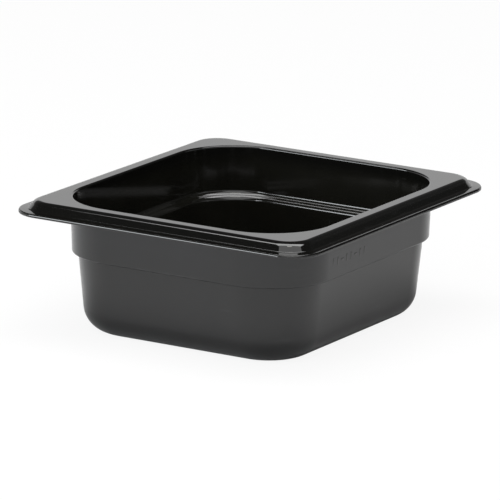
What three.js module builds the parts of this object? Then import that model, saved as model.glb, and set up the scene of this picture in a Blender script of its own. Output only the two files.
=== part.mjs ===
// Deli food pan, Gastronorm 1/6, 65 mm deep: one injection moulding in black polycarbonate.
// Units are millimetres. +Z is up, Y is the long side, and the origin is under the middle of the base.
// The moulding is divided into the zones that do different work: base, walls, stacking shoulder and
// rim. Neighbouring zones share the very same outlines, so they meet face to face.

import * as THREE from "three";

// Overall size, over the lip of the rim.
const WIDTH = 162;
const LENGTH = 176;
const HEIGHT = 65;

// An inset is the level distance from the overall outline to a surface of the pan.
// Base: a flat floor inside a large quarter round.
const FLOOR_THICKNESS = 2.4;
const BASE_RADIUS = 12.8;

// Lower wall, which leans outwards from the base to the stacking shoulder.
const LOWER_WALL_TOP_INSET = 16.4;
const LOWER_WALL_DRAFT = 5.7;
const LOWER_WALL_THICKNESS = 2.4;

// Stacking shoulder: outside an undercut step with small edges, inside a soft double bend.
const SHOULDER_BOTTOM_Z = 38;
const SHOULDER_TOP_Z = 44;
const STEP_Z = 38.4;
const STEP_EDGE_RADIUS = 0.9;
const STEP_ROOT_RADIUS = 0.3;
const LEDGE_OUTER_Z = 41.8;
const LEDGE_INNER_Z = 40.4;
const LEDGE_ROOT_RADIUS = 2.8;
const LEDGE_EDGE_RADIUS = 3.1;

// Upper wall, the band between the shoulder and the rim. It gets thinner towards the mouth.
const UPPER_WALL_TOP_INSET = 12.7;
const UPPER_WALL_DRAFT = 1.9;
const UPPER_WALL_FOOT_THICKNESS = 2.4;

// Rim: a flat land round the mouth, a slope that rolls down from it, and a thin lip at the foot of
// the slope. The lip droops a little towards its bevelled edge.
const LAND_THICKNESS = 2.3;
const LAND_OUTER_INSET = 8.85;
const LAND_EDGE_RADIUS = 3.9;
const MOUTH_INSET = 13.9;
const MOUTH_EDGE_RADIUS = 0.9;
const SLOPE_STEEPNESS = 54;
const SLOPE_THICKNESS = 2.1;
const SLOPE_FOOT_RADIUS = 0.7;
const LIP_WIDTH = 3.4;
const LIP_BOTTOM_Z = 59.1;
const LIP_TOP_Z = 60.83;
const LIP_DROOP = 2.5;
const LIP_LOWER_EDGE_RADIUS = 0.5;
const LIP_UPPER_EDGE_RADIUS = 0.3;
const BEVEL_INSET = 0.46;
const BEVEL_FOOT_Z = 60.27;
const BEVEL_FOOT_RADIUS = 1.3;

// Upright corners. All wall surfaces turn about one axis in each corner, and the rim is squarer.
const WALL_CORNER_AXIS_INSET = 45.6;
const LIP_CORNER_RADIUS = 15.5;
const LAND_CORNER_RADIUS = 10;

// Facets round each upright corner, and the largest turn between two points of a profile arc.
const CORNER_STEPS = 8;
const ARC_STEP = Math.PI / 8;

const RIGHT_ANGLE = Math.PI / 2;
const UNDER_LAND_Z = HEIGHT - LAND_THICKNESS;
const BASE_TOP_Z = BASE_RADIUS;

// Corner radius of a wall surface, and of a rim surface, at an inset.
const wallCorner = (inset) => WALL_CORNER_AXIS_INSET - inset;
const rimCorner = (inset) =>
  THREE.MathUtils.mapLinear(inset, 0, LAND_OUTER_INSET, LIP_CORNER_RADIUS, LAND_CORNER_RADIUS);

// A point of a profile: its inset, its height, the radius that rounds the profile there, and the
// rule for the corner radius of its outline.
const point = (inset, z, edge = 0, cornerRule = wallCorner) => ({ inset, z, edge, cornerRule });
const wallPoint = (face, z, edge = 0) => point(face(z), z, edge);
const rimPoint = (inset, z, edge = 0) => point(inset, z, edge, rimCorner);

// Inset of a wall's outer face at a height, and of the inner face behind it.
const draftSlope = (degrees) => Math.tan(THREE.MathUtils.degToRad(degrees));
const lowerOuter = (z) => LOWER_WALL_TOP_INSET + (STEP_Z - z) * draftSlope(LOWER_WALL_DRAFT);
const lowerInner = (z) => lowerOuter(z) + LOWER_WALL_THICKNESS;
const upperOuter = (z) => UPPER_WALL_TOP_INSET + (UNDER_LAND_Z - z) * draftSlope(UPPER_WALL_DRAFT);
const upperInner = (z) => {
  const foot = upperOuter(LEDGE_OUTER_Z) + UPPER_WALL_FOOT_THICKNESS;
  return THREE.MathUtils.mapLinear(z, LEDGE_OUTER_Z, HEIGHT, foot, MOUTH_INSET);
};

// Points on an arc in the profile plane. An angle of 0 points inwards and a right angle up.
function arc(centre, radius, start, turn, cornerRule = wallCorner) {
  const steps = Math.max(1, Math.ceil(Math.abs(turn) / ARC_STEP));
  return Array.from({ length: steps + 1 }, (_, i) => {
    const angle = start + (turn * i) / steps;
    const inset = centre.x + radius * Math.cos(angle);
    return point(inset, centre.y + radius * Math.sin(angle), 0, cornerRule);
  });
}

// Replaces each point that has an edge radius with the arc that touches both of its sides.
function softened(corners) {
  return corners.flatMap((corner, i) => {
    if (corner.edge === 0) return [corner];
    const tip = new THREE.Vector2(corner.inset, corner.z);
    const toward = (other) => new THREE.Vector2(other.inset, other.z).sub(tip).normalize();
    const before = toward(corners.at(i - 1));
    const after = toward(corners[(i + 1) % corners.length]);
    const half = before.angleTo(after) / 2;
    const middle = before.clone().add(after).normalize();
    const centre = middle.multiplyScalar(corner.edge / Math.sin(half)).add(tip);
    const first = before.clone().multiplyScalar(corner.edge / Math.tan(half)).add(tip);
    const turn = (Math.PI - 2 * half) * -Math.sign(before.cross(after));
    return arc(centre, corner.edge, first.sub(centre).angle(), turn, corner.cornerRule);
  });
}

// The rounded rectangle at a profile point, anticlockwise seen from above.
function outline({ inset, z, cornerRule }) {
  const radius = cornerRule(inset);
  const x = WIDTH / 2 - inset - radius;
  const y = LENGTH / 2 - inset - radius;
  const centres = [[x, y], [-x, y], [-x, -y], [x, -y]];
  return centres.flatMap(([cx, cy], quarter) =>
    Array.from({ length: CORNER_STEPS + 1 }, (_, i) => {
      const angle = RIGHT_ANGLE * (quarter + i / CORNER_STEPS);
      return new THREE.Vector3(cx + radius * Math.cos(angle), cy + radius * Math.sin(angle), z);
    }),
  );
}

// Triangles that join each outline to the next one, and the last to the first if the loop is closed.
function strips(count, around, closed) {
  const index = [];
  for (let ring = 0; ring < (closed ? count : count - 1); ring++) {
    const here = ring * around;
    const there = ((ring + 1) % count) * around;
    for (let i = 0; i < around; i++) {
      const next = (i + 1) % around;
      index.push(here + i, here + next, there + next);
      index.push(here + i, there + next, there + i);
    }
  }
  return index;
}

function geometryOf(outlines, index) {
  const geometry = new THREE.BufferGeometry().setFromPoints(outlines.flat());
  geometry.setIndex(index);
  geometry.computeVertexNormals();
  return geometry;
}

// A ring-shaped body. Its profile runs up the outside and down the inside, and closes on itself.
function ringGeometry(corners) {
  const outlines = softened(corners).map(outline);
  return geometryOf(outlines, strips(outlines.length, outlines[0].length, true));
}

// A plate. Its profile runs up the outside, and its lowest and highest outlines are filled.
function plateGeometry(profile) {
  const outlines = profile.map(outline);
  const around = outlines[0].length;
  const top = (outlines.length - 1) * around;
  const index = strips(outlines.length, around, false);
  const flat = outlines[0].map(({ x, y }) => new THREE.Vector2(x, y));
  for (const [a, b, c] of THREE.ShapeUtils.triangulateShape(flat, [])) {
    index.push(c, b, a);
    index.push(top + a, top + b, top + c);
  }
  return geometryOf(outlines, index);
}

// The base's outer and inner rounds have one centre, and run smoothly into the two faces of the
// lower wall. The floor is the part of the base below the top of the flat floor.
const draft = THREE.MathUtils.degToRad(LOWER_WALL_DRAFT);
const BASE_CENTRE = new THREE.Vector2(lowerOuter(BASE_RADIUS) + BASE_RADIUS / Math.cos(draft), BASE_RADIUS);
const BASE_INNER_RADIUS = BASE_RADIUS - FLOOR_THICKNESS;
const DOWN = 3 * RIGHT_ANGLE;
const WALL_NORMAL = Math.PI + draft;
const FLOOR_TOP = Math.PI + Math.asin(BASE_INNER_RADIUS / BASE_RADIUS);

const floorGeometry = () => plateGeometry(arc(BASE_CENTRE, BASE_RADIUS, DOWN, FLOOR_TOP - DOWN));

const baseRoundGeometry = () =>
  ringGeometry([
    ...arc(BASE_CENTRE, BASE_RADIUS, FLOOR_TOP, WALL_NORMAL - FLOOR_TOP),
    wallPoint(lowerOuter, BASE_TOP_Z),
    wallPoint(lowerInner, BASE_TOP_Z),
    ...arc(BASE_CENTRE, BASE_INNER_RADIUS, WALL_NORMAL, DOWN - WALL_NORMAL),
  ]);

const lowerWallGeometry = () =>
  ringGeometry([
    wallPoint(lowerOuter, BASE_TOP_Z),
    wallPoint(lowerOuter, SHOULDER_BOTTOM_Z),
    wallPoint(lowerInner, SHOULDER_BOTTOM_Z),
    wallPoint(lowerInner, BASE_TOP_Z),
  ]);

const shoulderGeometry = () =>
  ringGeometry([
    wallPoint(lowerOuter, SHOULDER_BOTTOM_Z),
    wallPoint(lowerOuter, STEP_Z, STEP_ROOT_RADIUS),
    wallPoint(upperOuter, STEP_Z, STEP_EDGE_RADIUS),
    wallPoint(upperOuter, SHOULDER_TOP_Z),
    wallPoint(upperInner, SHOULDER_TOP_Z),
    wallPoint(upperInner, LEDGE_OUTER_Z, LEDGE_ROOT_RADIUS),
    wallPoint(lowerInner, LEDGE_INNER_Z, LEDGE_EDGE_RADIUS),
    wallPoint(lowerInner, SHOULDER_BOTTOM_Z),
  ]);

const upperWallGeometry = () =>
  ringGeometry([
    wallPoint(upperOuter, SHOULDER_TOP_Z),
    wallPoint(upperOuter, UNDER_LAND_Z),
    wallPoint(upperInner, UNDER_LAND_Z),
    wallPoint(upperInner, SHOULDER_TOP_Z),
  ]);

// Height of the lip's top at an inset, before its edge is bevelled. Its underside is level, so that
// the pan hangs flat.
const lipTop = (inset) => LIP_TOP_Z + inset * draftSlope(LIP_DROOP);

// The slope's outer face, before rounding, starts where the land's flat ends plus the reach of the
// round, and meets the lip at its foot. Its inner face runs parallel, a wall's thickness behind.
const steepness = THREE.MathUtils.degToRad(SLOPE_STEEPNESS);
const SLOPE_TOP_INSET = LAND_OUTER_INSET - LAND_EDGE_RADIUS * Math.tan(steepness / 2);
const slopeOuter = (z) => SLOPE_TOP_INSET - (HEIGHT - z) / Math.tan(steepness);
const slopeInner = (z) => slopeOuter(z) + SLOPE_THICKNESS / Math.sin(steepness);
const SLOPE_FOOT_Z = lipTop(slopeOuter(LIP_TOP_Z));

const rimLandGeometry = () =>
  ringGeometry([
    rimPoint(LIP_WIDTH, LIP_BOTTOM_Z),
    rimPoint(LIP_WIDTH, lipTop(LIP_WIDTH)),
    rimPoint(slopeOuter(SLOPE_FOOT_Z), SLOPE_FOOT_Z, SLOPE_FOOT_RADIUS),
    rimPoint(SLOPE_TOP_INSET, HEIGHT, LAND_EDGE_RADIUS),
    wallPoint(upperInner, HEIGHT, MOUTH_EDGE_RADIUS),
    wallPoint(upperInner, UNDER_LAND_Z),
    wallPoint(upperOuter, UNDER_LAND_Z),
    rimPoint(slopeInner(UNDER_LAND_Z), UNDER_LAND_Z),
    rimPoint(slopeInner(LIP_BOTTOM_Z), LIP_BOTTOM_Z),
  ]);

const rimLipGeometry = () =>
  ringGeometry([
    rimPoint(0, LIP_BOTTOM_Z, LIP_LOWER_EDGE_RADIUS),
    rimPoint(0, BEVEL_FOOT_Z, BEVEL_FOOT_RADIUS),
    rimPoint(BEVEL_INSET, lipTop(BEVEL_INSET), LIP_UPPER_EDGE_RADIUS),
    rimPoint(LIP_WIDTH, lipTop(LIP_WIDTH)),
    rimPoint(LIP_WIDTH, LIP_BOTTOM_Z),
  ]);

// Outside, the walls have a fine moulded texture. The rim is polished.
const texturedWall = () =>
  new THREE.MeshStandardMaterial({ color: 0x2a2b2e, roughness: 0.5, metalness: 0 });
const polishedRim = () =>
  new THREE.MeshStandardMaterial({ color: 0x15161a, roughness: 0.14, metalness: 0 });

const ZONES = [
  ["floor_panel", floorGeometry, texturedWall],
  ["base_round", baseRoundGeometry, texturedWall],
  ["lower_wall", lowerWallGeometry, texturedWall],
  ["stacking_shoulder", shoulderGeometry, texturedWall],
  ["upper_wall", upperWallGeometry, texturedWall],
  ["rim_land", rimLandGeometry, polishedRim],
  ["rim_lip", rimLipGeometry, polishedRim],
];

const pan = new THREE.Group();
for (const [name, geometry, material] of ZONES) {
  const mesh = new THREE.Mesh(geometry(), material());
  mesh.name = name;
  pan.add(mesh);
}

export default pan;
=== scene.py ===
"""Deli food pan, Gastronorm 1/6, 65 mm deep, in black polycarbonate: its looks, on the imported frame.

The real pan is one moulding, so one fine closed mesh stands for all the CAD zones. It is made by sweeping
one profile round a rounded rectangle. Outside and underneath the plastic has a fine moulded texture, and
inside and on the rim it is polished. A row of small raised bars on the +X wall is a second mesh.
Everything is in metres in the frame of the CAD model.
"""

import math

import bpy
from mathutils import Matrix, Vector


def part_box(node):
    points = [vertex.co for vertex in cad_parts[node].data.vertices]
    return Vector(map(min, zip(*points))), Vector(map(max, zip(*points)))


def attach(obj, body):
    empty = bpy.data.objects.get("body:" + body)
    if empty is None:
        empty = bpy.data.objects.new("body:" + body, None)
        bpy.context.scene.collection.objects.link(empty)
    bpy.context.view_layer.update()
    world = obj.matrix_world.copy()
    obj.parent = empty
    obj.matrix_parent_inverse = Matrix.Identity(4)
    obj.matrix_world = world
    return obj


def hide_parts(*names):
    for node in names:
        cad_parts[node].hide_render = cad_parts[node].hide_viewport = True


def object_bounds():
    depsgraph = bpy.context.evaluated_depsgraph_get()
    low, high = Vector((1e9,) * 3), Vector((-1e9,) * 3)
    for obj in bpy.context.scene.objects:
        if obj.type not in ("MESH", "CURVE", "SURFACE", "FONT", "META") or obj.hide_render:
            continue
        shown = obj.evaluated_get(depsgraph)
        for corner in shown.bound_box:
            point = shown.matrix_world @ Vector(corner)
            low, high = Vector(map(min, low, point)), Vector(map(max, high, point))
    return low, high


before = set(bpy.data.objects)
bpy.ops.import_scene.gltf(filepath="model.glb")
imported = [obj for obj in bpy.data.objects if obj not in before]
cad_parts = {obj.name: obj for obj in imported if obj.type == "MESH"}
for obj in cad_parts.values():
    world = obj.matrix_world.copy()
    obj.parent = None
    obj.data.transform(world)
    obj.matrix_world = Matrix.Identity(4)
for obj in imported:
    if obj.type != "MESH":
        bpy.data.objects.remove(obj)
cad_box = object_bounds()

MM = 0.001

# ---------------------------------------------------------------- sizes from the frame
pan_low, pan_high = cad_box
HALF_WIDTH = (pan_high[0] - pan_low[0]) / 2
HALF_LENGTH = (pan_high[1] - pan_low[1]) / 2
HEIGHT = pan_high[2]
LIP_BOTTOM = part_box("rim_lip")[0].z
UNDER_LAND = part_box("upper_wall")[1].z
SHOULDER_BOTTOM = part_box("stacking_shoulder")[0].z
FLOOR_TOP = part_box("floor_panel")[1].z
BASE_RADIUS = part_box("base_round")[1].z
WALL = 2.4 * MM

# Profile values that the frame's boxes don't hold, the same as in the CAD model.
LOWER_DRAFT = math.radians(5.7)
UPPER_DRAFT = math.radians(1.9)
UPPER_TOP_INSET = 12.7 * MM
LOWER_TOP_INSET = 16.4 * MM
STEP_Z = SHOULDER_BOTTOM + 0.4 * MM
STEP_ROOT_RADIUS = 0.3 * MM
STEP_EDGE_RADIUS = 0.9 * MM
LEDGE_OUTER_Z = 41.8 * MM
LEDGE_INNER_Z = 40.4 * MM
LEDGE_ROOT_RADIUS = 2.8 * MM
LEDGE_EDGE_RADIUS = 3.1 * MM
LAND_OUTER_INSET = 8.85 * MM
LAND_EDGE_RADIUS = 3.9 * MM
MOUTH_INSET = 13.9 * MM
MOUTH_EDGE_RADIUS = 0.9 * MM
SLOPE_STEEPNESS = math.radians(54)
SLOPE_THICKNESS = 2.1 * MM
SLOPE_FOOT_RADIUS = 0.7 * MM
UNDER_LAND_RADIUS = 0.8 * MM
LIP_DROOP = math.radians(2.5)
LIP_EDGE_TOP = 60.83 * MM
LIP_BEVEL = 0.46 * MM
LIP_BEVEL_FOOT = 60.27 * MM
LIP_OUTER_RADIUS = 1.3 * MM
LIP_EDGE_RADIUS = 0.3 * MM
LIP_UNDERSIDE_RADIUS = 0.5 * MM
WALL_CORNER_AXIS = 45.6 * MM
LIP_CORNER_RADIUS = 15.5 * MM
LAND_CORNER_RADIUS = 10.0 * MM

# Gate mark in the middle of the underside, as (radius, height) in millimetres: the stub that the mould's
# gate leaves, in a shallow round recess.
GATE_MARK = [(0.8, 0.12), (1.0, 0.2), (1.1, 0.5), (5.0, 0.5), (5.45, 0.42), (5.6, 0.1), (5.75, 0), (5.9, 0)]

# Raised bars on the upper band of the +X wall. A bar's edge is given from its root inside the wall to its
# face, as (height over the wall, shrinkage) in millimetres.
BAR_COUNT = 8
BAR_FIRST_Y = -38 * MM
BAR_PITCH = 4.0 * MM
BAR_Z = 46.6 * MM
UPRIGHT_BAR = (1.2 * MM, 3.8 * MM)
LYING_BAR = (2.7 * MM, 1.2 * MM)
BAR_CORNER = 0.45 * MM
BAR_EDGE = [(-0.3, 0), (-0.02, 0), (0.05, 0.07), (0.08, 0.25)]

# Fineness of the mesh. A point is added HOLD outside each end of an arc in the profile, and twice that in
# plan, so that the flats beside the arc shade flat.
ARC_STEP = math.radians(6)
ARC_LEAST_STEPS = 3
CORNER_STEPS = 32
BAR_CORNER_STEPS = 3
HOLD = 0.12 * MM

# Signs of a rectangle's four corners, anticlockwise.
QUARTERS = [(1, 1), (-1, 1), (-1, -1), (1, -1)]


# ---------------------------------------------------------------- profile of the shell
# Insets are measured inward from the rim's outermost edge, level with the ground.
def wall_corner(inset):
    """Corner radius in plan of the walls and the floor, whose corners share one axis."""
    return WALL_CORNER_AXIS - inset


def rim_corner(inset):
    """Corner radius in plan of the lip and the slope, from the lip's edge to the land's."""
    share = inset / LAND_OUTER_INSET
    return LIP_CORNER_RADIUS + (LAND_CORNER_RADIUS - LIP_CORNER_RADIUS) * share


def lower_outer(z):
    return LOWER_TOP_INSET + (STEP_Z - z) * math.tan(LOWER_DRAFT)


def upper_outer(z):
    return UPPER_TOP_INSET + (UNDER_LAND - z) * math.tan(UPPER_DRAFT)


def lower_inner(z):
    return lower_outer(z) + WALL


def upper_inner(z):
    share = (z - LEDGE_OUTER_Z) / (HEIGHT - LEDGE_OUTER_Z)
    foot = upper_outer(LEDGE_OUTER_Z) + WALL
    return foot + (MOUTH_INSET - foot) * share


def lip_top(inset):
    return LIP_EDGE_TOP + inset * math.tan(LIP_DROOP)


def slope_outer(z):
    reach = LAND_EDGE_RADIUS * math.tan(SLOPE_STEEPNESS / 2)
    return LAND_OUTER_INSET - reach - (HEIGHT - z) / math.tan(SLOPE_STEEPNESS)


def slope_inner(z):
    return slope_outer(z) + SLOPE_THICKNESS / math.sin(SLOPE_STEEPNESS)


def textured_corners():
    """Corners of the shell's profile as (inset, z, rounding radius, corner rule), from the underside of
    the base, up the outside, and along the underside of the rim to the lower edge of the lip."""
    return [
        (lower_outer(0), 0, BASE_RADIUS, wall_corner),
        (lower_outer(STEP_Z), STEP_Z, STEP_ROOT_RADIUS, wall_corner),
        (upper_outer(STEP_Z), STEP_Z, STEP_EDGE_RADIUS, wall_corner),
        (upper_outer(UNDER_LAND), UNDER_LAND, UNDER_LAND_RADIUS, wall_corner),
        (slope_inner(UNDER_LAND), UNDER_LAND, UNDER_LAND_RADIUS, rim_corner),
        (slope_inner(LIP_BOTTOM), LIP_BOTTOM, LIP_UNDERSIDE_RADIUS, rim_corner),
        (0, LIP_BOTTOM, LIP_UNDERSIDE_RADIUS, rim_corner),
    ]


def polished_corners():
    """Corners of the rest of the profile, over the rim and down the inside to the floor."""
    slope_foot = lip_top(slope_outer(LIP_EDGE_TOP))
    return [
        (0, LIP_BEVEL_FOOT, LIP_OUTER_RADIUS, rim_corner),
        (LIP_BEVEL, lip_top(LIP_BEVEL), LIP_EDGE_RADIUS, rim_corner),
        (slope_outer(slope_foot), slope_foot, SLOPE_FOOT_RADIUS, rim_corner),
        (slope_outer(HEIGHT), HEIGHT, LAND_EDGE_RADIUS, rim_corner),
        (upper_inner(HEIGHT), HEIGHT, MOUTH_EDGE_RADIUS, wall_corner),
        (upper_inner(LEDGE_OUTER_Z), LEDGE_OUTER_Z, LEDGE_ROOT_RADIUS, wall_corner),
        (lower_inner(LEDGE_INNER_Z), LEDGE_INNER_Z, LEDGE_EDGE_RADIUS, wall_corner),
        (lower_inner(FLOOR_TOP), FLOOR_TOP, BASE_RADIUS - FLOOR_TOP, wall_corner),
    ]


def rounded(before, corner, after):
    """The arc that rounds a corner, as (inset, z, corner rule), with a held point outside each end."""
    radius, corner_rule = corner[2:]
    tip = Vector(corner[:2])
    to_before = Vector(before[:2]) - tip
    to_after = Vector(after[:2]) - tip
    half = to_before.angle(to_after) / 2
    reach = radius / math.tan(half)
    back = to_before.normalized()
    onward = to_after.normalized()
    centre = tip + (back + onward).normalized() * radius / math.sin(half)
    first = tip + back * reach
    last = tip + onward * reach
    turn = (first - centre).angle_signed(last - centre)
    steps = max(ARC_LEAST_STEPS, math.ceil(abs(turn) / ARC_STEP))
    points = []
    if to_before.length > reach + 2 * HOLD:
        points.append(first + back * HOLD)
    for i in range(steps + 1):
        arm = first - centre
        arm.rotate(Matrix.Rotation(-turn * i / steps, 2))
        points.append(centre + arm)
    if to_after.length > reach + 2 * HOLD:
        points.append(last + onward * HOLD)
    return [(p.x, p.y, corner_rule) for p in points]


def profile_points():
    """The rounded profile, and the number of its points that belong to the textured surface."""
    textured = textured_corners()
    polished = polished_corners()
    base_middle = (WALL_CORNER_AXIS, 0, 0, wall_corner)
    floor_middle = (WALL_CORNER_AXIS, FLOOR_TOP, 0, wall_corner)
    chain = [base_middle, *textured, *polished, floor_middle]
    arcs = [rounded(*three) for three in zip(chain, chain[1:], chain[2:])]
    points = [point for arc in arcs for point in arc]
    return points, sum(len(arc) for arc in arcs[:len(textured)])


# ---------------------------------------------------------------- sweep
def outline(inset, z, corner_rule):
    """A rounded rectangle, anticlockwise seen from above, with a held point outside each arc's ends."""
    radius = corner_rule(inset)
    x = HALF_WIDTH - inset - radius
    y = HALF_LENGTH - inset - radius
    points = []
    for quarter, (sx, sy) in enumerate(QUARTERS):
        for i in range(-1, CORNER_STEPS + 2):
            share = min(max(i, 0), CORNER_STEPS) / CORNER_STEPS
            angle = (quarter + share) * math.pi / 2
            px = sx * x + radius * math.cos(angle)
            py = sy * y + radius * math.sin(angle)
            if i < 0 or i > CORNER_STEPS:
                slide = 2 * HOLD if i > 0 else -2 * HOLD
                px -= slide * math.sin(angle)
                py += slide * math.cos(angle)
            points.append((px, py, z))
    return points


def circle(radius, z, count):
    angles = [2 * math.pi * i / count for i in range(count)]
    return [(radius * math.cos(a), radius * math.sin(a), z) for a in angles]


def skin(rings):
    """Faces that join each ring of points to the next, and close the first and the last."""
    around = len(rings[0])
    faces = [tuple(reversed(range(around)))]
    for ring in range(len(rings) - 1):
        here, there = ring * around, (ring + 1) * around
        for i in range(around):
            j = (i + 1) % around
            faces.append((here + i, here + j, there + j, there + i))
    top = (len(rings) - 1) * around
    faces.append(tuple(range(top, top + around)))
    return faces


def new_object(name, vertices, faces, *materials):
    """A smooth-shaded mesh, linked to the scene."""
    mesh = bpy.data.meshes.new(name)
    mesh.from_pydata(vertices, [], faces)
    mesh.shade_smooth()
    for material in materials:
        mesh.materials.append(material)
    piece = bpy.data.objects.new(name, mesh)
    bpy.context.scene.collection.objects.link(piece)
    return piece


def add_shell(textured, polished):
    """The whole moulding. Its rings start in the gate mark and end round the floor inside."""
    profile, textured_count = profile_points()
    outlines = [outline(*point) for point in profile]
    gate = [circle(radius * MM, z * MM, len(outlines[0])) for radius, z in GATE_MARK]
    rings = gate + outlines
    vertices = [point for ring in rings for point in ring]
    shell = new_object("pan_shell", vertices, skin(rings), textured, polished)
    first_polished = 1 + (len(gate) + textured_count) * len(rings[0])
    for polygon in shell.data.polygons[first_polished:]:
        polygon.material_index = 1
    return shell


# ---------------------------------------------------------------- raised bars
def bar_outline(y, z, width, height, proud, corner):
    """A small rounded rectangle that lies on the long wall's upper band, or stands proud of it."""
    points = []
    for quarter, (sy, sz) in enumerate(QUARTERS):
        for i in range(BAR_CORNER_STEPS + 1):
            angle = (quarter + i / BAR_CORNER_STEPS) * math.pi / 2
            py = y + sy * (width / 2 - corner) + corner * math.cos(angle)
            pz = z + sz * (height / 2 - corner) + corner * math.sin(angle)
            points.append((HALF_WIDTH - upper_outer(pz) + proud, py, pz))
    return points


def add_raised_bars(textured):
    """A row of plain bars, upright and lying, in the place of a moulded mark."""
    vertices, faces = [], []
    for index in range(BAR_COUNT):
        y = BAR_FIRST_Y + index * BAR_PITCH
        width, height = LYING_BAR if index % 3 == 2 else UPRIGHT_BAR
        rings = []
        for proud, shrink in BAR_EDGE:
            size = (width - 2 * shrink * MM, height - 2 * shrink * MM)
            rings.append(bar_outline(y, BAR_Z, *size, proud * MM, BAR_CORNER - shrink * MM))
        start = len(vertices)
        vertices += [point for ring in rings for point in ring]
        faces += [tuple(start + i for i in face) for face in skin(rings)]
    return new_object("raised_bars", vertices, faces, textured)


# ---------------------------------------------------------------- view
# The camera's place in degrees and metres: round from the front, and up from level.
VIEW_AZIMUTH = 31.5
VIEW_ELEVATION = 14.35
VIEW_ROLL = 0.72
VIEW_DISTANCE = 2.7238
VIEW_TARGET = Vector((-6.17, 8.67, 32.04)) * MM
LENS_MM = 412.8
SENSOR_MM = 36

TO_VIEW = Matrix.Rotation(math.radians(VIEW_AZIMUTH), 4, "Z")
AWAY = TO_VIEW @ Vector((0, 1, 0))
RIGHT = TO_VIEW @ Vector((1, 0, 0))
UP = Vector((0, 0, 1))


def direction(turn, elevation):
    """Unit vector, so many degrees to the right of straight away from the camera, and up from level."""
    turn, elevation = math.radians(turn), math.radians(elevation)
    level = AWAY * math.cos(turn) + RIGHT * math.sin(turn)
    return level * math.cos(elevation) + UP * math.sin(elevation)


def add_camera():
    """Stands where the photograph was taken from, with a long lens and a slight roll."""
    back = direction(180, VIEW_ELEVATION)
    rotation = Matrix((RIGHT, back.cross(RIGHT), back)).transposed().to_4x4()
    roll = Matrix.Rotation(math.radians(VIEW_ROLL), 4, "Z")
    data = bpy.data.cameras.new("camera")
    data.sensor_width = SENSOR_MM
    data.lens = LENS_MM
    camera = bpy.data.objects.new("camera", data)
    camera.matrix_world = Matrix.Translation(VIEW_TARGET + back * VIEW_DISTANCE) @ rotation @ roll
    bpy.context.scene.collection.objects.link(camera)
    bpy.context.scene.camera = camera


# ---------------------------------------------------------------- studio
# Level soft box over the pan, bright at the back and dim at the front, a small key just under it, and a
# strip at the side. The box's edges and the key are placed by their distances from the pan's middle, away
# from the camera where positive.
OVERHEAD_HEIGHT = 2.0
OVERHEAD_WIDTH = 2.6
OVERHEAD_FAR_EDGE = 0.36
OVERHEAD_SPLIT = -0.5
OVERHEAD_NEAR_EDGE = -5.2
KEY_DISTANCE = -0.78
KEY_DROP = 0.02
STRIP_DIRECTION = direction(-116, 12)
STRIP_DISTANCE = 2.0
STRIP_AIM = Vector((0, 0, 0.06))

# Surroundings: white walls up to an elevation in degrees, over which a dim ceiling fades to a dark one, and
# a round black flag at the right, with the two angles from its middle where it is full and where it ends.
WALL_TOP = 17
CEILING_START = 19.5
CEILING_DARK = 36
FLAG_DIRECTION = direction(64, 9)
FLAG_FULL = 14
FLAG_END = 24
WALL_SHADE = 0.93
CEILING_SHADE = 0.15
DARK_CEILING_SHADE = 0.05
FLAG_SHADE = 0.04

# The floor lies just under the pan, so that the two surfaces don't flicker through each other.
FLOOR_HALF_SIDE = 8
FLOOR_Z = -0.05 * MM
FLOOR_SHADE = 0.66
FLOOR_WHITE = 1.02
FLOOR_WHITE_SHARE = 0.88


def grey(value):
    return (value, value, value, 1)


def sine(degrees):
    return math.sin(math.radians(degrees))


def add_area(name, location, size, radiance, color, aim=None):
    """A soft box. Without an aim it hangs level, faces down, and has its width across the view."""
    data = bpy.data.lights.new(name, "AREA")
    data.shape = "RECTANGLE"
    data.size, data.size_y = size
    data.energy = radiance * math.pi * size[0] * size[1]
    data.color = color
    light = bpy.data.objects.new(name, data)
    rotation = TO_VIEW
    if aim is not None:
        rotation = (aim - location).to_track_quat("-Z", "Y").to_matrix().to_4x4()
    light.matrix_world = Matrix.Translation(location) @ rotation
    light.visible_camera = False
    bpy.context.scene.collection.objects.link(light)


def add_overhead(name, near_edge, far_edge, radiance):
    """Part of the level soft box, between two of its edges."""
    middle = AWAY * (near_edge + far_edge) / 2 + UP * OVERHEAD_HEIGHT
    add_area(name, middle, (OVERHEAD_WIDTH, far_edge - near_edge), radiance, color=(1, 1, 1))


def add_lights():
    """The soft box, a small warm key just under it, and a cool strip low at the left."""
    add_overhead("overhead", OVERHEAD_SPLIT, OVERHEAD_FAR_EDGE, radiance=6.0)
    add_overhead("overhead_front", OVERHEAD_NEAR_EDGE, OVERHEAD_SPLIT, radiance=1.6)
    key = AWAY * KEY_DISTANCE + UP * (OVERHEAD_HEIGHT - KEY_DROP)
    add_area("key", key, size=(0.5, 0.16), radiance=9, color=(1, 0.97, 0.9))
    strip = STRIP_AIM + STRIP_DIRECTION * STRIP_DISTANCE
    add_area("strip", strip, size=(1.4, 0.7), radiance=8.5, color=(0.93, 0.97, 1), aim=STRIP_AIM)


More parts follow.
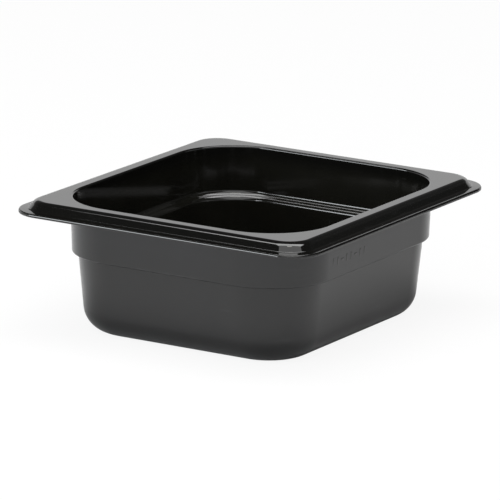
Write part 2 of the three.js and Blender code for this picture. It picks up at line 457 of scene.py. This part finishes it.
def set_world():
    """White walls up to a little above the camera's height, a dim ceiling, and a black flag at the right."""
    world = bpy.data.worlds.new("studio")
    world.use_nodes = True
    nodes, links = world.node_tree.nodes, world.node_tree.links
    coordinates = nodes.new("ShaderNodeTexCoord")
    split = nodes.new("ShaderNodeSeparateXYZ")
    ramp = nodes.new("ShaderNodeValToRGB")
    links.new(coordinates.outputs["Generated"], split.inputs[0])
    links.new(split.outputs["Z"], ramp.inputs[0])
    walls, ceiling = ramp.color_ramp.elements
    walls.position = sine(WALL_TOP)
    walls.color = grey(WALL_SHADE)
    ceiling.position = sine(CEILING_START)
    ceiling.color = grey(CEILING_SHADE)
    dark_ceiling = ramp.color_ramp.elements.new(sine(CEILING_DARK))
    dark_ceiling.color = grey(DARK_CEILING_SHADE)
    toward_flag = nodes.new("ShaderNodeVectorMath")
    toward_flag.operation = "DOT_PRODUCT"
    links.new(coordinates.outputs["Generated"], toward_flag.inputs[0])
    toward_flag.inputs[1].default_value = FLAG_DIRECTION
    flag = nodes.new("ShaderNodeMapRange")
    links.new(toward_flag.outputs["Value"], flag.inputs["Value"])
    flag.inputs["From Min"].default_value = math.cos(math.radians(FLAG_END))
    flag.inputs["From Max"].default_value = math.cos(math.radians(FLAG_FULL))
    mix = nodes.new("ShaderNodeMix")
    mix.data_type = "RGBA"
    links.new(flag.outputs["Result"], mix.inputs["Factor"])
    links.new(ramp.outputs["Color"], mix.inputs["A"])
    mix.inputs["B"].default_value = grey(FLAG_SHADE)
    links.new(mix.outputs["Result"], nodes["Background"].inputs["Color"])
    bpy.context.scene.world = world


def pale_floor():
    """Nearly white to the camera, and a pale grey in what the pan reflects."""
    material = bpy.data.materials.new("pale_floor")
    material.use_nodes = True
    nodes, links = material.node_tree.nodes, material.node_tree.links
    shader = nodes["Principled BSDF"]
    shader.inputs["Base Color"].default_value = grey(FLOOR_SHADE)
    shader.inputs["Roughness"].default_value = 0.9
    shader.inputs["Specular IOR Level"].default_value = 0.0
    white = nodes.new("ShaderNodeEmission")
    white.inputs["Strength"].default_value = FLOOR_WHITE
    seen = nodes.new("ShaderNodeLightPath")
    share = nodes.new("ShaderNodeMath")
    share.operation = "MULTIPLY"
    links.new(seen.outputs["Is Camera Ray"], share.inputs[0])
    share.inputs[1].default_value = FLOOR_WHITE_SHARE
    mix = nodes.new("ShaderNodeMixShader")
    links.new(share.outputs[0], mix.inputs[0])
    links.new(shader.outputs[0], mix.inputs[1])
    links.new(white.outputs[0], mix.inputs[2])
    links.new(mix.outputs[0], nodes["Material Output"].inputs["Surface"])
    return material


def add_floor():
    corners = [(x * FLOOR_HALF_SIDE, y * FLOOR_HALF_SIDE, FLOOR_Z) for x, y in QUARTERS]
    floor = new_object("floor", corners, [(0, 1, 2, 3)], pale_floor())


# ---------------------------------------------------------------- materials
PLASTIC_IOR = 1.585
BLACK = (0.0028, 0.0028, 0.0026, 1)
BLUE_BLACK = (0.0045, 0.0048, 0.0060, 1)
WARM_BLACK = (0.0062, 0.0061, 0.0047, 1)
RUBBED = (0.030, 0.030, 0.031, 1)

# Edges that wear, as (height, reach): the step, the base and the lip outside, the ledge and the lip inside.
TEXTURED_EDGES = [(STEP_Z + 0.6 * MM, 0.9 * MM), (0.0, 1.6 * MM), (LIP_BOTTOM, 0.5 * MM)]
POLISHED_EDGES = [(LEDGE_OUTER_Z, 1.2 * MM), (LIP_BEVEL_FOOT, 0.5 * MM)]

# Outside. The upper band's bluer tone comes in over a rise above the step.
GRAIN_DEPTH = 0.012 * MM
CLOUD_DEPTH = 0.05 * MM
MARK_STRENGTH = 0.45
MARK_DULLNESS = 0.22
TONE_RISE = 12 * MM

# Rim and inside. The heights are those between which the lighter, warmer, duller inside passes into the
# darker, glossier rim.
INSIDE_TONE_TOP = 56 * MM
RIM_TONE_FROM = 62 * MM
INSIDE_DULLNESS = 0.055
RIPPLE_DEPTH = 0.02 * MM
HAIRLINE_DEPTH = 0.0008 * MM
SCRATCH_STRENGTH = 0.3
SCRATCH_DULLNESS = 0.15


class Graph:
    """One plastic's nodes, with short calls for building them. Patterns follow the object's own axes."""

    def __init__(self, name):
        self.material = bpy.data.materials.new(name)
        self.material.use_nodes = True
        self.tree = self.material.node_tree
        self.shader = self.tree.nodes["Principled BSDF"]
        self.shader.inputs["IOR"].default_value = PLASTIC_IOR
        self.place = self.tree.nodes.new("ShaderNodeTexCoord").outputs["Object"]
        self.height = self.node("ShaderNodeSeparateXYZ", {0: self.place}).outputs["Z"]

    def node(self, kind, inputs, **settings):
        """A node with its settings, and with its inputs, each a value or another node's output."""
        node = self.tree.nodes.new(kind)
        for key, value in settings.items():
            setattr(node, key, value)
        for key, value in inputs.items():
            if isinstance(value, bpy.types.NodeSocket):
                self.tree.links.new(value, node.inputs[key])
            else:
                node.inputs[key].default_value = value
        return node

    def noise(self, cells, detail=2.0, stretch=(1, 1, 1)):
        """Noise with this many cells a metre, more or fewer along an axis as stretch says."""
        scale = [cells * share for share in stretch]
        scaled = self.node("ShaderNodeMapping", {"Vector": self.place, "Scale": scale})
        inputs = {"Vector": scaled.outputs[0], "Scale": 1.0, "Detail": detail}
        return self.node("ShaderNodeTexNoise", inputs).outputs[0]

    def spread(self, value, low, high, to_low=0.0, to_high=1.0):
        """Maps low to to_low and high to to_high, and clamps what lies outside."""
        inputs = {"Value": value, "From Min": low, "From Max": high, "To Min": to_low, "To Max": to_high}
        return self.node("ShaderNodeMapRange", inputs).outputs["Result"]

    def maths(self, operation, *values):
        """One sum on its values, in the order that the operation takes them."""
        return self.node("ShaderNodeMath", dict(enumerate(values)), operation=operation).outputs[0]

    def near_edges(self, edges):
        """1 at each edge's height on the object, falling to 0 where it is the edge's reach away."""
        share = 0.0
        for middle, reach in edges:
            distance = self.maths("ABSOLUTE", self.maths("SUBTRACT", self.height, middle))
            share = self.maths("MAXIMUM", share, self.spread(distance, 0.0, reach, 1.0, 0.0))
        return share

    def blend(self, share, first, second):
        """The first colour where the share is 0, and the second where it is 1."""
        inputs = {"Factor": share, "A": first, "B": second}
        return self.node("ShaderNodeMix", inputs, data_type="RGBA").outputs["Result"]

    def bump(self, height, depth, under=None):
        """Relief of this depth, on top of another where one is given."""
        inputs = {"Height": height, "Strength": 1.0, "Distance": depth}
        if under is not None:
            inputs["Normal"] = under
        return self.node("ShaderNodeBump", inputs).outputs[0]

    def finish(self, color, roughness, normal):
        self.tree.links.new(color, self.shader.inputs["Base Color"])
        self.tree.links.new(roughness, self.shader.inputs["Roughness"])
        self.tree.links.new(normal, self.shader.inputs["Normal"])
        return self.material


def textured_plastic():
    """Outside: a fine even mould grain, clouds in the gloss, level rub marks from stacking and shelves, and
    paler, duller edges at the base, the step and the lip."""
    graph = Graph("textured_plastic")
    grain = graph.noise(2300, detail=3.0)
    clouds = graph.noise(42, stretch=(1, 1, 0.6))
    patches = graph.spread(graph.noise(55), 0.5, 0.68)
    streaks = graph.spread(graph.noise(620, stretch=(0.07, 0.07, 1)), 0.6, 0.72)
    rubs = graph.maths("MULTIPLY", streaks, patches)
    chips = graph.spread(graph.noise(330, detail=3.0), 0.47, 0.62)
    worn = graph.maths("MULTIPLY", graph.near_edges(TEXTURED_EDGES), chips)
    marks = graph.maths("MULTIPLY", graph.maths("MAXIMUM", rubs, worn), MARK_STRENGTH)

    upper = graph.spread(graph.height, STEP_Z, STEP_Z + TONE_RISE, 0.15, 0.75)
    tone = graph.maths("MULTIPLY", upper, graph.spread(clouds, 0.3, 0.7, 0.4, 1.6))
    color = graph.blend(marks, graph.blend(tone, BLACK, BLUE_BLACK), RUBBED)
    cloudy_gloss = graph.spread(clouds, 0.3, 0.7, 0.14, 0.18)
    gloss = graph.maths("ADD", cloudy_gloss, graph.spread(grain, 0.3, 0.7, -0.01, 0.01))
    roughness = graph.maths("MULTIPLY_ADD", marks, MARK_DULLNESS, gloss)
    normal = graph.bump(grain, GRAIN_DEPTH, graph.bump(clouds, CLOUD_DEPTH))
    return graph.finish(color, roughness, normal)


def polished_plastic():
    """Rim and inside: a polish with slow ripples, faint hairlines from washing and serving, and duller
    spots along the lip and the ledge where lids and nested pans touch. The inside is a little greyer and
    duller than the rim."""
    graph = Graph("polished_plastic")
    ripples = graph.noise(30, detail=1.0)
    clouds = graph.noise(65)
    patches = graph.spread(graph.noise(48), 0.48, 0.66)
    along = graph.spread(graph.noise(1300, stretch=(1, 0.05, 0.4)), 0.64, 0.74)
    across = graph.spread(graph.noise(1100, stretch=(0.06, 1, 0.3)), 0.66, 0.76)
    hairlines = graph.maths("MULTIPLY", graph.maths("MAXIMUM", along, across), patches)
    spots = graph.spread(graph.noise(420, detail=3.0), 0.56, 0.7)
    worn = graph.maths("MULTIPLY", graph.near_edges(POLISHED_EDGES), spots)
    marks = graph.maths("MULTIPLY", graph.maths("MAXIMUM", hairlines, worn), SCRATCH_STRENGTH)

    # Below the rim the colour is drawn lighter and warmer, and the gloss duller, than on the rim.
    inside_share = graph.spread(graph.height, INSIDE_TONE_TOP, RIM_TONE_FROM, 1.0, 0.15)
    inside_tone = graph.maths("MULTIPLY", inside_share, graph.spread(clouds, 0.2, 0.6, 0.7, 1.0))
    color = graph.blend(marks, graph.blend(inside_tone, BLACK, WARM_BLACK), RUBBED)
    cloudy_gloss = graph.spread(clouds, 0.3, 0.7, 0.025, 0.045)
    gloss = graph.maths("MULTIPLY_ADD", inside_share, INSIDE_DULLNESS, cloudy_gloss)
    roughness = graph.maths("MULTIPLY_ADD", marks, SCRATCH_DULLNESS, gloss)
    hairline_cut = graph.maths("MULTIPLY", hairlines, -1.0)
    normal = graph.bump(hairline_cut, HAIRLINE_DEPTH, graph.bump(ripples, RIPPLE_DEPTH))
    return graph.finish(color, roughness, normal)


# ---------------------------------------------------------------- build
add_camera()
set_world()
add_floor()
add_lights()

textured = textured_plastic()
pan = add_shell(textured, polished_plastic())
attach(pan, "root")
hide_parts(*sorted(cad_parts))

bars = add_raised_bars(textured)
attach(bars, "root")

bpy.context.scene.view_settings.view_transform = "Standard"
